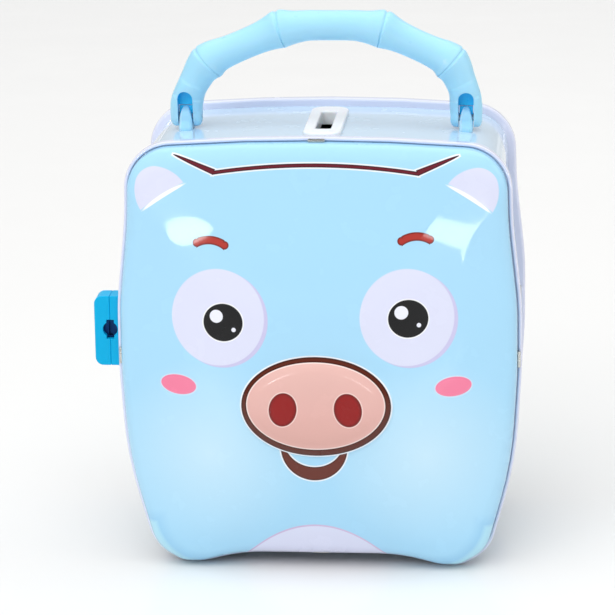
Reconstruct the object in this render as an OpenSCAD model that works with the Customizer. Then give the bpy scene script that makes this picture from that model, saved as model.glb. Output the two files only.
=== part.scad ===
// Tin money box for a child, with a bulging front door, a carrying handle, a coin slot and a side lock.
// Millimetres. X runs to the right seen from the front, the front faces -Y, Z is up and the feet stand on Z = 0.

/* [Case] */
// Half the case's width at its widest point
half_w = 60.1; // [58:0.05:62]
// Height of the top edge where the upper corners start
shoulder_z = 129; // [127:0.1:133]
// How much higher the top's two slopes meet than its corners
crown = 4; // [0:0.1:5]
// Radius of the two upper corners
top_r = 14.2; // [8:0.1:16]
// How far the bottom is raised between the feet
arch = 3.2; // [2:0.1:5]
// Half the distance between the middles of the front and rear rims
half_d = 29; // [24:0.5:32]
// How far the band sits below the rims
band_in = 2.4; // [1.5:0.1:3.5]
// Thickness of the sheet that the band and panels are made of
sheet = 0.8; // [0.4:0.1:1.2]

/* [Rims] */
// Depth of a rim's rolled bead
bead_d = 3.4; // [2.6:0.1:4]
// Width of a rim's rolled bead
bead_w = 3.0; // [2:0.1:4]
// Width of the ridge on a rim's outer edge
ridge_w = 1; // [0.6:0.1:1.6]
// Depth of the seat inside the ridge, which a panel's edge stands on
seat_d = 1; // [0.5:0.1:1.4]
// Width of the flat lip inside the front rim
lip_w = 6; // [4:0.5:8]

/* [Panels] */
// Gap between a rim's ridge and its panel
groove = 0.3; // [0.2:0.05:0.6]
// How far the front panel bulges in front of its edge
bulge_front = 14.3; // [10:0.1:20]
// How far the rear panel bulges behind its edge
bulge_rear = 8; // [5:0.5:14]
// Height of the straight wall at the front panel's edge
wall_front_h = 3.4; // [1:0.1:5]
// Height of the straight wall at the rear panel's edge
wall_rear_h = 1.6; // [1:0.1:5]
// Height of the rounded shoulder above a panel's wall
shoulder_h = 2.6; // [1:0.1:4]
// Height of the raised snout
snout_h = 2.4; // [1:0.1:4]
// Height of the snout's middle above the feet
snout_z = 53; // [45:0.5:60]
// Half the snout's width
snout_a = 22; // [18:0.5:26]
// Half the snout's height
snout_b = 15; // [12:0.5:18]
// Length of the tin tabs that hold the front panel
clip_len = 5; // [3:0.5:7]

/* [Coin slot] */
// Length of the slot, which passes a 25 mm coin
slot_len = 25.6; // [24:0.2:30]
// Width of the slot
slot_w = 4.6; // [3:0.1:5]
// Length of the slot's frame
bezel_len = 40; // [34:0.5:42]
// Width of the slot's frame
bezel_w = 11.5; // [10:0.5:14]
// How far the frame stands above the band
bezel_h = 1.3; // [0.8:0.1:2.5]
// How far the top's fittings stand to the right of the case's middle
top_x = 0.4; // [0:0.1:1]

/* [Handle] */
// Distance of each handle pivot from the middle
lug_x = 42.2; // [38:0.1:46]
// Height of the pivots
pivot_z = 131.5; // [130:0.1:136]
// Height of the grip's middle line
grip_z = 159.1; // [150:0.1:170]
// How far the grip's middle leans to the right of its pivots
lean = 2; // [0:0.1:3]
// Radius of the handle between its rings
grip_r = 4.9; // [4:0.1:6]
// Radius of the handle's rings
ring_r = 5.9; // [5:0.1:7]
// Thickness of the web that closes each fork above its lug
fork_web = 1.2; // [0.8:0.1:2]
// Thickness of each lug's tongue
tongue_w = 4; // [3:0.1:5]
// Radius of the pivot pins
pin_r = 1.25; // [1:0.05:1.6]
// Length of each lug's foot, from front to rear
foot_len = 8.8; // [7:0.1:12]

/* [Lock] */
// Distance of the keyhole from the middle of the case
key_x = 63; // [62:0.1:65]
// Height of the keyhole
key_z = 71.7; // [66:0.1:75]
// Distance of the lock's outer face from the middle
lock_x = 67.7; // [66:0.1:70]
// Height of the lock's case
lock_h = 21.4; // [20:0.2:26]
// Depth of the lock's case
lock_d = 7.4; // [7:0.1:10]
// Radius of the lock's barrel
barrel_r = 3.2; // [2.6:0.1:3.6]
// Length of the cam from the barrel's axis
cam_r = 9; // [8.6:0.1:9.2]

/* [Hinge] */
// Distance of the hinge pin from the middle
hinge_x = 58.75; // [58:0.05:60]
// Height of the hinge's middle
hinge_z = 72; // [65:0.5:80]
// Length of the hinge
hinge_len = 28; // [20:0.5:40]
// Radius of the hinge's knuckles
knuckle_r = 1.05; // [0.9:0.05:1.3]

/* [Hidden] */
$fn = 48;
// The top edge's height at the middle, under the fillet between its two slopes
top_z = shoulder_z + crown - 600 * (sqrt(1 + pow(crown / 56.7, 2)) - 1);
rim_front = half_d + bead_d / 2;
rim_back = half_d - bead_d / 2;
band_front = rim_back - 0.6;
face_in = ridge_w + groove;
seat_y = rim_front - seat_d;
mid_z = 66;
hinge_y = -(rim_back - 1.5);
lock_front = rim_back - 0.4;
lock_back = lock_front - lock_d;
cam_front = lock_front - 4.3;
lock_z = key_z - 0.5;
screw_y = 2 - lock_front;
screw_z = 7.4;
cam_t = 1.2;
wall_front = 1.7;
catch_x = 55.4;
catch_t = 1;
shift = [(lock_x - half_w) / 2, (bulge_front + snout_h - bulge_rear) / 2, 0];

// Corners of the right half of the case's outline: x, z, fillet radius, points on the fillet
half_outline = [
  [24.2, arch, 50, 4],
  [35.7, 0, 16, 4],
  [42.2, 0, 8.5, 5],
  [50.8, 5, 13, 6],
  [58.5, 33.5, 120, 3],
  [half_w, 61, 100, 2],
  [half_w - 0.05, 81.5, 100, 2],
  [57.3, 106, 120, 2],
  [56.7, shoulder_z, top_r, 9]
];
n_half = len(half_outline);
corners = concat(
  half_outline,
  [[0, shoulder_z + crown, 600, 9]],
  [for (i = [n_half - 1:-1:0]) [-half_outline[i][0], half_outline[i][1], half_outline[i][2], half_outline[i][3]]]
);
n_corner = len(corners);

function xy(v) = [v[0], v[1]];
function along(i) = let (d = xy(corners[(i + 1) % n_corner]) - xy(corners[i])) d / norm(d);
function inward(i) = [-along(i)[1], along(i)[0]];
function before(i) = (i + n_corner - 1) % n_corner;

// The fillet points of one corner of the outline, moved inwards by d
function corner_points(i, d) =
  let (
    a = inward(before(i)),
    b = inward(i),
    m = (a + b) / (1 + a * b),
    bend = sign(a[0] * b[1] - a[1] * b[0]),
    r = max(0.4, corners[i][2] - bend * d),
    c = xy(corners[i]) + d * m + bend * r * m,
    n = corners[i][3] - 1
  )
  [for (k = [0:n]) let (w = a * (1 - k / n) + b * (k / n)) c - bend * r * w / norm(w)];

function outline(d) = [for (i = [0:n_corner - 1]) for (p = corner_points(i, d)) p];

// The same outline with points added along its long edges, at the spacing that ref's edges need
function dense(pts, ref, step) = [
  for (i = [0:len(pts) - 1])
    let (j = (i + 1) % len(pts), n = ceil(norm(ref[j] - ref[i]) / step))
    for (k = [0:n - 1]) pts[i] + (pts[j] - pts[i]) * k / n
];

function dome(s, h) = h * pow(1 - pow(s, 2.2), 0.8);
// The shoulder's share of its height at ring s: a quarter of an ellipse that is 5% of the panel wide
function shoulder(s) = sqrt(1 - pow(1 - min(1, (1 - s) / 0.05), 2));
// How far a point lies from the panel's middle, where 1 is at its edge
function off_middle(q) = pow(pow(abs(q[0]) / 59, 3) + pow(abs(q[1] - mid_z) / 65, 3), 1 / 3);
// A panel's height at a point of its ring s, for a bulge h: the wall, the shoulder and then a dome, which follows
// the ring near the edge and the position further in
function height(q, s, h, wall) =
  let (b = max(0, min(1, (s - 0.55) / 0.4)), top = h - wall - shoulder_h)
  s == 1 ? 0 : wall + shoulder_h * shoulder(s) + b * dome(s, top) + (1 - b) * dome(min(1, off_middle(q)), top);
// A point of ring s, whose shape runs from the outline to an ellipse round the panel's focus
function ring_point(p, s, focus, axes) =
  let (
    w = min(1, (1 - s) / 0.6),
    c = [0, mid_z],
    v = p - c,
    u = v / norm(v),
    e = u / norm([u[0] / axes[0], u[1] / axes[1]])
  )
  c * (1 - w) + focus * w + s * (v * (1 - w) + e * w);
function snout(p) =
  let (e = norm([p[0] / snout_a, (p[1] - snout_z) / snout_b]))
  e > 1.05 ? 0 : e < 0.85 ? snout_h : snout_h * (0.5 + 0.5 * cos((e - 0.85) / 0.2 * 180));

// Shapes drawn in the X-Z plane, given depth from Y = y0 to Y = y1
module slab(y0, y1) {
  rotate([90, 0, 0])
    translate([0, 0, -y1])
      linear_extrude(y1 - y0)
        children();
}

module ring(d0, d1, y0, y1) {
  slab(y0, y1)
    difference() {
      polygon(outline(d0));
      polygon(outline(d1));
    }
}

// The space inside the band's outer surface
module band_core(d = 0) {
  slab(-rim_front - 10, rim_front + 10)
    polygon(outline(band_in + d));
}

module along_x(x0, x1, y, z, r) {
  translate([x0, y, z])
    rotate([0, 90, 0])
      cylinder(h = x1 - x0, r = r);
}

module along_y(x, y0, y1, z, r) {
  translate([x, y0, z])
    rotate([-90, 0, 0])
      cylinder(h = y1 - y0, r = r);
}

module box(x0, x1, y0, y1, z0, z1) {
  translate([x0, y0, z0])
    cube([x1 - x0, y1 - y0, z1 - z0]);
}

// A pressed sheet panel: rings of the outline that shrink to its focus and rise by h, with a snout if asked
module panel(h, wall, rise, step, steps, focus, axes) {
  base = outline(face_in);
  outer = dense(base, base, step);
  inner = dense(outline(face_in + sheet), base, step);
  n = len(outer);
  m = len(steps);
  front = [for (s = steps) for (p = outer)
    let (q = ring_point(p, s, focus, axes)) [q[0], q[1], height(q, s, h, wall) + rise * snout(q)]];
  back = [for (s = steps) for (p = inner)
    let (q = ring_point(p, s, focus, axes))
    [q[0], q[1], s == 1 ? 0 : height(q, s, h, wall) - sheet + rise * snout(q)]];
  top = height(focus, 0, h, wall) + rise * snout(focus);
  tips = [[focus[0], focus[1], top], [focus[0], focus[1], top - sheet]];
  faces = concat(
    [for (k = [0:m - 2]) for (i = [0:n - 1]) let (j = (i + 1) % n) [k * n + i, (k + 1) * n + j, k * n + j]],
    [for (k = [0:m - 2]) for (i = [0:n - 1]) let (j = (i + 1) % n) [k * n + i, (k + 1) * n + i, (k + 1) * n + j]],
    [for (i = [0:n - 1]) let (j = (i + 1) % n) [(m - 1) * n + i, 2 * m * n, (m - 1) * n + j]],
    [for (k = [m:2 * m - 2]) for (i = [0:n - 1]) let (j = (i + 1) % n) [k * n + i, k * n + j, (k + 1) * n + j]],
    [for (k = [m:2 * m - 2]) for (i = [0:n - 1]) let (j = (i + 1) % n) [k * n + i, (k + 1) * n + j, (k + 1) * n + i]],
    [for (i = [0:n - 1]) let (j = (i + 1) % n) [(2 * m - 1) * n + i, (2 * m - 1) * n + j, 2 * m * n + 1]],
    [for (i = [0:n - 1]) let (j = (i + 1) % n) [i, j, m * n + j]],
    [for (i = [0:n - 1]) let (j = (i + 1) % n) [i, m * n + j, m * n + i]]
  );
  polyhedron(concat(front, back, tips), faces);
}

module place() {
  translate(shift)
    children();
}

// Case

module side_band() {
  color([0.78, 0.89, 0.97])
    place()
      difference() {
        ring(band_in, band_in + sheet, -band_front, rim_back);
        box(top_x - 3.7, top_x + 3.7, -14.6, 14.6, 120, 140);
        for (x = [-lug_x, lug_x])
          box(top_x + x - 1.8, top_x + x + 1.8, -3.1, 3.1, 120, 140);
        box(-60, -50, -cam_front - 0.3, -cam_front + 2.4, key_z - 2.2, key_z + 9.3);
        for (z = [-screw_z, screw_z])
          along_x(-62, -50, screw_y, key_z + z, 1.15);
        box(50, 62, -rim_back, hinge_y + 1.6, hinge_z - hinge_len / 2 - 1, hinge_z + hinge_len / 2 + 1);
        for (z = [-9, 9])
          along_x(50, 62, hinge_y + 6, hinge_z + z, 0.92);
      }
}

module bead() {
  ring(0.35, ridge_w - 0.1, rim_front - 0.5, rim_front);
  ring(0, ridge_w, seat_y, rim_front - 0.5);
  ring(0, bead_w, half_d - 0.9, seat_y);
  ring(0.4, bead_w, rim_back, half_d - 0.9);
}

module rear_rim() {
  color([0.88, 0.9, 0.98])
    place() {
      bead();
      ring(bead_w, bead_w + 2, rim_back, rim_back + sheet);
    }
}

module rear_panel() {
  color([0.72, 0.88, 0.99])
    place()
      translate([0, seat_y, 0])
        mirror([0, 1, 0])
          rotate([90, 0, 0])
            panel(bulge_rear, wall_rear_h, 0, 12,
                  [1, 0.9995, 0.997, 0.99, 0.978, 0.96, 0.93, 0.86, 0.7, 0.5, 0.3, 0.15], [0, mid_z], [59, 65]);
}

module coin_slot_bezel() {
  base = 127;
  color([0.96, 0.96, 0.97])
    place()
      difference() {
        union() {
          difference() {
            translate([top_x, 0.5, base])
              linear_extrude(top_z - band_in + bezel_h - base)
                rounded_plate(bezel_w, bezel_len, 4.5);
            band_core();
          }
          box(top_x - 3.5, top_x + 3.5, -14.4, 14.4, base - 0.8, base + 3);
          for (s = [-1, 1], y = [-8, 8])
            translate([top_x + s * 3.9, y, base + 0.4])
              cube([0.8, 5, 1.2], center = true);
        }
        box(top_x - slot_w / 2, top_x + slot_w / 2, -slot_len / 2, slot_len / 2, 120, 140);
      }
}

module rounded_plate(w, l, r) {
  square([w - 2 * r, l], center = true);
  square([w, l - 2 * r], center = true);
  for (x = [-1, 1], y = [-1, 1])
    translate([x * (w / 2 - r), y * (l / 2 - r)])
      circle(r);
}

module lug(x) {
  half = foot_len / 2;
  translate([top_x, 0, 0])
    place() {
      difference() {
        translate([x - tongue_w / 2, 0, 0])
          rotate([90, 0, 90])
            linear_extrude(tongue_w) {
              translate([0, pivot_z])
                circle(3.4);
              polygon([[-half, pivot_z - 6], [half, pivot_z - 6], [half, pivot_z - 3.4], [3.4, pivot_z],
                       [-3.4, pivot_z], [-half, pivot_z - 3.4]]);
            }
        translate([-top_x, 0, 0])
          band_core();
        along_x(x - 5, x + 5, 0, pivot_z, pin_r + 0.06);
      }
      box(x - 1.7, x + 1.7, -3, 3, pivot_z - 6.6, pivot_z - 2.4);
    }
}

module handle_lug_left() {
  color([0.62, 0.86, 0.99])
    lug(-lug_x);
}

module handle_lug_right() {
  color([0.62, 0.86, 0.99])
    lug(lug_x);
}

module lug_spring_plates() {
  color([0.7, 0.71, 0.73])
    place()
      for (x = [-lug_x, lug_x])
        difference() {
          box(top_x + x - 3.2, top_x + x + 3.2, -4.5, 4.5, pivot_z - 5.9, pivot_z - 5.3);
          box(top_x + x - 1.72, top_x + x + 1.72, -3.02, 3.02, 120, 130);
        }
}

// Lock

module lock_block(x0, x1) {
  r = 2.4;
  difference() {
    intersection() {
      slab(-lock_front, -lock_back)
        translate([-key_x, lock_z])
          rounded_plate(2 * (lock_x - key_x), lock_h, r);
      box(x0, x1, -40, 0, 40, 100);
    }
    lock_holes();
  }
}

module lock_holes() {
  z0 = key_z;
  along_y(-key_x, -lock_front + wall_front, -cam_front + 0.1, z0, barrel_r + 0.05);
  along_y(-key_x, -lock_front - 1, -cam_front, z0, 2.25);
  box(-key_x - 1.17, -key_x + 1.17, -lock_front - 1, -lock_front + 2, z0 - 2.95, z0 + 2.95);
  along_y(-key_x, -cam_front - 0.3, -cam_front + 2.4, z0, 3.5);
  box(-key_x - 2.6, -50, -cam_front - 0.3, -cam_front + 2.4, z0 - 2.2, z0 + 9.3);
  for (z = [-screw_z, screw_z])
    along_x(-key_x - 3.2, -50, screw_y, z0 + z, 1.12);
}

module lock_case_outer() {
  color([0, 0.66, 0.9])
    place()
      lock_block(-lock_x - 1, -key_x);
}

module lock_case_inner() {
  color([0, 0.66, 0.9])
    place()
      difference() {
        box(-key_x, -50, -lock_front, -lock_back, lock_z - lock_h / 2, lock_z + lock_h / 2);
        band_core();
        lock_holes();
      }
}

module lock_screws() {
  color([0.75, 0.76, 0.78])
    place()
      for (z = [-screw_z, screw_z]) {
        along_x(-key_x - 3, -56, screw_y, key_z + z, 1.1);
        difference() {
          along_x(-56.6, -55.75, screw_y, key_z + z, 1.8);
          box(-56, -55, screw_y - 3, screw_y + 3, key_z + z - 0.3, key_z + z + 0.3);
        }
      }
}

module lock_barrel() {
  color([0.78, 0.78, 0.8])
    place()
      difference() {
        union() {
          along_y(-key_x, -lock_front + wall_front + 0.1, -cam_front, key_z, barrel_r);
          box(-key_x - 1.5, -key_x + 1.5, -cam_front - 1, -cam_front + cam_t - 0.05, key_z - 1.5, key_z + 1.5);
        }
        box(-key_x - 0.6, -key_x + 0.6, -lock_front, -lock_front + 2.8, key_z - 2.3, key_z + 2.3);
        along_y(-key_x, -cam_front - 1.3, -cam_front + 2, key_z, 0.92);
      }
}

module lock_cam() {
  color([0.72, 0.73, 0.75])
    place()
      difference() {
        slab(-cam_front, -cam_front + cam_t)
          translate([-key_x, key_z]) {
            circle(3);
            intersection() {
              circle(cam_r);
              translate([-1.7, 0])
                square([3.4, cam_r]);
            }
          }
        box(-key_x - 1.52, -key_x + 1.52, -cam_front - 1, -cam_front + 2, key_z - 1.52, key_z + 1.52);
      }
}

module cam_screw() {
  color([0.6, 0.61, 0.63])
    place() {
      along_y(-key_x, -cam_front - 1.2, -cam_front + cam_t + 0.2, key_z, 0.9);
      along_y(-key_x, -cam_front + cam_t, -cam_front + cam_t + 0.8, key_z, 2.3);
    }
}

// Hinge

module knuckle(z0, z1, bore) {
  translate([hinge_x, hinge_y, z0])
    difference() {
      cylinder(h = z1 - z0, r = knuckle_r);
      translate([0, 0, -1])
        cylinder(h = z1 - z0 + 2, r = bore);
    }
}

module hinge_leaf_case() {
  z0 = hinge_z - hinge_len / 2;
  z1 = hinge_z + hinge_len / 2;
  color([0.75, 0.76, 0.78])
    place() {
      knuckle(z0, z0 + 8.8, 0.52);
      knuckle(z1 - 8.8, z1, 0.52);
      difference() {
        box(57, 58.3, hinge_y + 0.6, hinge_y + 10, z0, z1);
        band_core();
        box(50, 60, hinge_y - 2, hinge_y + 2.4, z0 + 8.8, z1 - 8.8);
        translate([hinge_x, hinge_y, 0])
          cylinder(h = 200, r = 0.9);
        for (z = [-9, 9])
          along_x(50, 62, hinge_y + 6, hinge_z + z, 0.92);
      }
    }
}

module hinge_rivets() {
  color([0.8, 0.81, 0.83])
    place()
      for (z = [-9, 9]) {
        along_x(56.4, 58.5, hinge_y + 6, hinge_z + z, 0.9);
        along_x(58.3, 58.9, hinge_y + 6, hinge_z + z, 1.6);
        along_x(55.9, 56.5, hinge_y + 6, hinge_z + z, 1.5);
      }
}

module hinge_pin() {
  color([0.6, 0.61, 0.63])
    place()
      translate([hinge_x, hinge_y, hinge_z - hinge_len / 2 - 0.4])
        cylinder(h = hinge_len + 0.8, r = 0.5);
}

module hinge_leaf_door() {
  z0 = hinge_z - 4.8;
  color([0.75, 0.76, 0.78])
    place() {
      knuckle(z0, z0 + 9.6, 0.56);
      difference() {
        box(56.8, hinge_x + 0.3, -rim_back, -rim_back + 0.6, z0, z0 + 9.6);
        translate([hinge_x, hinge_y, 0])
          cylinder(h = 200, r = 0.9);
      }
    }
}

// Door

module door_rim() {
  color([0.88, 0.9, 0.98])
    place() {
      mirror([0, 1, 0])
        bead();
      difference() {
        ring(bead_w, bead_w + lip_w, -rim_back - sheet, -rim_back);
        for (z = [-5, 5])
          along_y(-52.9, -rim_back - 2, -rim_back + 1, key_z + z, 0.82);
      }
    }
}

module face_panel() {
  color([0.72, 0.89, 0.99])
    place()
      translate([0, -seat_y, 0])
        rotate([90, 0, 0])
          panel(bulge_front, wall_front_h, 1, 8,
                [1, 0.9995, 0.997, 0.99, 0.978, 0.96, 0.93, 0.88, 0.8, 0.7, 0.6, 0.5, 0.42, 0.38, 0.36, 0.34, 0.32,
                 0.3, 0.2, 0.1],
                [0, snout_z], [snout_a / 0.36, snout_b / 0.36]);
}

// A tab whose tongue stands in the groove and whose head lies over the ridge
module clip(x, z, turn) {
  translate([x, 0, z])
    rotate([0, turn, 0]) {
      box(-clip_len / 2, clip_len / 2, -rim_front, -seat_y, ridge_w + 0.05, ridge_w + 0.25);
      box(-clip_len / 2, clip_len / 2, -rim_front - 1, -rim_front, 0.35, ridge_w + 0.25);
    }
}

module face_clips() {
  color([0.72, 0.73, 0.75])
    place() {
      clip(0, top_z, 180);
      clip(0, arch, 0);
      clip(-half_w, mid_z - 1, 90);
      clip(half_w, mid_z - 1, -90);
    }
}

module catch_bracket() {
  color([0.75, 0.76, 0.78])
    place()
      difference() {
        union() {
          box(-catch_x, -catch_x + catch_t, -rim_back, -cam_front + 2.7, key_z - 6.5, key_z + 9);
          box(-catch_x, -51.4, -rim_back, -rim_back + 0.8, key_z - 7, key_z + 9);
        }
        box(-60, -50, -cam_front - 0.4, -cam_front + cam_t + 0.4, key_z - 2.1, key_z + 6.3);
        for (z = [-5, 5])
          along_y(-52.9, -rim_back - 2, -rim_back + 2, key_z + z, 0.82);
      }
}

module catch_rivets() {
  color([0.8, 0.81, 0.83])
    place()
      for (z = [-5, 5]) {
        along_y(-52.9, -rim_back - sheet - 0.3, -rim_back + 1, key_z + z, 0.8);
        along_y(-52.9, -rim_back - sheet - 0.5, -rim_back - sheet, key_z + z, 1.2);
        along_y(-52.9, -rim_back + 0.8, -rim_back + 1.3, key_z + z, 1.2);
      }
}

// Handle

// Corners of the handle's middle line on the right side: x, z, bend radius
path = [[0, grip_z, 0], [7, grip_z, 30], [15.3, grip_z - 1.1, 8], [37, grip_z - 10.7, 12],
        [lug_x, pivot_z + 6.1, 20], [lug_x, pivot_z - 4, 0]];
// Middles of the two rings on the right side
rings = [[15.3, grip_z - 1.2], [36.5, grip_z - 11]];
sides = 24;

function step_dir(i) = let (d = xy(path[i + 1]) - xy(path[i])) d / norm(d);
function elbow(i) =
  let (
    a = step_dir(i - 1),
    b = step_dir(i),
    t = path[i][2] * norm(b - a) / norm(a + b),
    n = 5
  )
  [for (k = [0:n]) let (w = k / n, p = xy(path[i]) - t * a, q = xy(path[i]) + t * b)
    p * (1 - w) * (1 - w) + 2 * xy(path[i]) * w * (1 - w) + q * w * w];
function split(pts, step) = [
  for (i = [0:len(pts) - 2])
    let (n = ceil(norm(pts[i + 1] - pts[i]) / step))
    for (k = [0:n - 1]) pts[i] + (pts[i + 1] - pts[i]) * k / n
];
right = concat(split(concat([xy(path[0])], elbow(1), elbow(2), elbow(3), elbow(4), [xy(path[5])]), 2),
               [xy(path[5])]);
n_right = len(right);
middle = concat([for (i = [n_right - 1:-1:1]) [-right[i][0], right[i][1]]], right);
function thick(p) =
  let (d = min([for (r = rings) norm([abs(p[0]), p[1]] - r)]))
  grip_r + (ring_r - grip_r) * max(0, 1 - d / 4);
function tilt(z) = lean * max(0, z - pivot_z - 4) / (grip_z - pivot_z - 4);
function heading(i) =
  let (d = middle[min(i + 1, len(middle) - 1)] - middle[max(i - 1, 0)])
  d / norm(d);

// The bent bar of the handle, a round section carried along its middle line
module bar() {
  m = len(middle);
  points = [
    for (i = [0:m - 1]) for (k = [0:sides - 1])
      let (h = heading(i), a = 360 * k / sides, r = thick(middle[i]))
      [middle[i][0] + tilt(middle[i][1]) - h[1] * r * cos(a), r * sin(a), middle[i][1] + h[0] * r * cos(a)]
  ];
  faces = concat(
    [for (i = [0:m - 2]) for (k = [0:sides - 1]) let (j = (k + 1) % sides)
      [i * sides + k, i * sides + j, (i + 1) * sides + j]],
    [for (i = [0:m - 2]) for (k = [0:sides - 1]) let (j = (k + 1) % sides)
      [i * sides + k, (i + 1) * sides + j, (i + 1) * sides + k]],
    [[for (k = [sides - 1:-1:0]) k]],
    [[for (k = [0:sides - 1]) (m - 1) * sides + k]]
  );
  polyhedron(points, faces);
}

module fork_side() {
  translate([30, 0, 0])
    rotate([90, 0, 90])
      linear_extrude(25) {
        translate([0, pivot_z])
          circle(3.1);
        polygon([[-3.1, pivot_z], [3.1, pivot_z], [4.9, pivot_z + 8.5], [4.9, pivot_z + 9.5], [8, pivot_z + 11],
                 [8, pivot_z + 40], [-8, pivot_z + 40], [-8, pivot_z + 11], [-4.9, pivot_z + 9.5],
                 [-4.9, pivot_z + 8.5]]);
      }
}

module fork_cut() {
  gap = 4.6;
  top = pivot_z + 5.8;
  difference() {
    box(30, 60, -9, 9, pivot_z - 9, pivot_z + 10.9);
    fork_side();
  }
  difference() {
    union() {
      box(lug_x - gap / 2, lug_x + gap / 2, -9, 9, pivot_z - 9, top);
      along_y(lug_x, -9, 9, top, gap / 2);
    }
    box(lug_x - 5, lug_x + 5, -fork_web / 2, fork_web / 2, pivot_z + 3.9, pivot_z + 12);
  }
  along_x(lug_x - 8, lug_x + 8, 0, pivot_z, pin_r + 0.02);
}

module handle_grip() {
  color([0.56, 0.84, 0.98])
    translate([top_x, 0, 0])
      place()
        difference() {
          bar();
          fork_cut();
          mirror([1, 0, 0])
            fork_cut();
        }
}

module handle_pins() {
  color([0.75, 0.76, 0.78])
    place()
      for (x = [-lug_x, lug_x])
        along_x(top_x + x - 4.4, top_x + x + 4.4, 0, pivot_z, pin_r);
}

side_band();
rear_rim();
rear_panel();
coin_slot_bezel();
handle_lug_left();
handle_lug_right();
lug_spring_plates();
lock_case_inner();
lock_case_outer();
lock_screws();
hinge_leaf_case();
hinge_rivets();
hinge_pin();
door_rim();
face_panel();
face_clips();
hinge_leaf_door();
catch_bracket();
catch_rivets();
lock_barrel();
lock_cam();
cam_screw();
handle_grip();
handle_pins();
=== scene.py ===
# A child's tin money box with a pig's face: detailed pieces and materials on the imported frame.
import math

import bmesh
import bpy
from mathutils import Matrix, Vector


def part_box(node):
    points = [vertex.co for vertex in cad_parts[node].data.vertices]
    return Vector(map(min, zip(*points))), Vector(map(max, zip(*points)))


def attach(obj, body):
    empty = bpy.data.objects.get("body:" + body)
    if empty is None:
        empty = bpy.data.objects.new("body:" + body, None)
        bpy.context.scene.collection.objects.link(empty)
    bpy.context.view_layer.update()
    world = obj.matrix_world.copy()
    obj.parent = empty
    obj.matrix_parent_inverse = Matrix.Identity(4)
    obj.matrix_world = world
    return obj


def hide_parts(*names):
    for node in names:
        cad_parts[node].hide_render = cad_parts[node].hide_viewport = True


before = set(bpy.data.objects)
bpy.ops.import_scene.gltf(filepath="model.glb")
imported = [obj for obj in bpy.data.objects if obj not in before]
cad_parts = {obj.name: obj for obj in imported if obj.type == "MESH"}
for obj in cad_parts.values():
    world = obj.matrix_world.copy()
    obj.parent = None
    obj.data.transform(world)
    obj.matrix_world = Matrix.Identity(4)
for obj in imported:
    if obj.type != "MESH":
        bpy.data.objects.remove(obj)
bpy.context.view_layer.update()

# ---------------------------------------------------------------------------------------------
# Sizes in millimetres, in the case's own coordinates: X = 0 and Y = 0 at the band's middle
# ---------------------------------------------------------------------------------------------
HALF_W = 60.1
SHOULDER_Z = 129
CROWN = 4
TOP_R = 14.2
ARCH = 3.2
BAND_IN = 2.4
SHEET = 0.8
BEAD_D = 3.4
BEAD_W = 3.0
LIP_W = 6
RIDGE_W = 1
SEAT_D = 1
GROOVE = 0.3
BULGE_FRONT = 14.3
BULGE_REAR = 8
WALL_FRONT_H = 3.4
WALL_REAR_H = 1.6
SHOULDER_H = 2.6
SHOULDER_SHARE = 0.05
MID_Z = 66
DOME_X = 59
DOME_Z = 65
SNOUT_H = 2.4
SNOUT_Z = 53
SNOUT_A = 22
SNOUT_B = 15
TOP_X = 0.4
LUG_X = 42.2
PIVOT_Z = 131.5
PIN_R = 1.25
HEAD_R = 3.4
LEG_R = 3.1
TONGUE_W = 4
GRIP_Z = 159.1
LEAN = 2
GRIP_R = 4.5
RING_R = 5.9
FLARE_W = 4
SEAM_W = 0.32
SEAM_D = 0.5
KEY_X = 63
KEY_Z = 71.7
LOCK_X = 67.7
LOCK_Z = KEY_Z - 0.5
LOCK_H = 21.4
LOCK_D = 7.4
LOCK_R = 2.4
KEYHOLE_R = 2.25
KEYHOLE_W = 1.17
KEYHOLE_H = 2.95
BARREL_R = 3.25
CAM_SET = 4.3
CAM_ROOM_Z = 9.3
CAM_ROOM_Y = 2.4
SCREW_Z = 7.4
SLOT_L = 25.6
SLOT_W = 4.6
BEZEL_L = 40
BEZEL_W = 11.5
BEZEL_R = 4.5
SLOT_R = 0.9
HINGE_Z = 72
HINGE_LEN = 28

# Spans that reach right through the band: its top, its left side at the lock and its right side
THROUGH_TOP = (120, 140)
THROUGH_LEFT = (-62, -50)
THROUGH_RIGHT = (50, 62)

# The place of the case's own coordinates in the frame, and the rims' planes
front_low, front_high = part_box("door_rim")
rear_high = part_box("rear_rim")[1]
SHIFT = Vector(((front_low[0] + front_high[0]) / 2, (front_low[1] + rear_high[1]) / 2, 0))
RIM_FRONT = (rear_high[1] - front_low[1]) * 500
RIM_BACK = RIM_FRONT - BEAD_D
SEAT_Y = RIM_FRONT - SEAT_D
BAND_FRONT = RIM_BACK - 0.6
LOCK_FRONT = RIM_BACK - 0.4
LOCK_BACK = LOCK_FRONT - LOCK_D
CAM_FRONT = LOCK_FRONT - CAM_SET
SCREW_Y = 2 - LOCK_FRONT
HINGE_Y = -(RIM_BACK - 1.5)
TOP_Z = SHOULDER_Z + CROWN - 600 * (math.hypot(1, CROWN / 56.7) - 1)
TO_FRAME = Matrix.Translation(SHIFT) @ Matrix.Scale(0.001, 4)


# ---------------------------------------------------------------------------------------------
# Shader arithmetic
# ---------------------------------------------------------------------------------------------
def linear(hex_colour):
    """A colour written as its usual six digits, as the shader's linear values."""
    parts = [int(hex_colour[i:i + 2], 16) / 255 for i in (0, 2, 4)]
    return [p / 12.92 if p <= 0.04045 else ((p + 0.055) / 1.055) ** 2.4 for p in parts] + [1]


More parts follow.
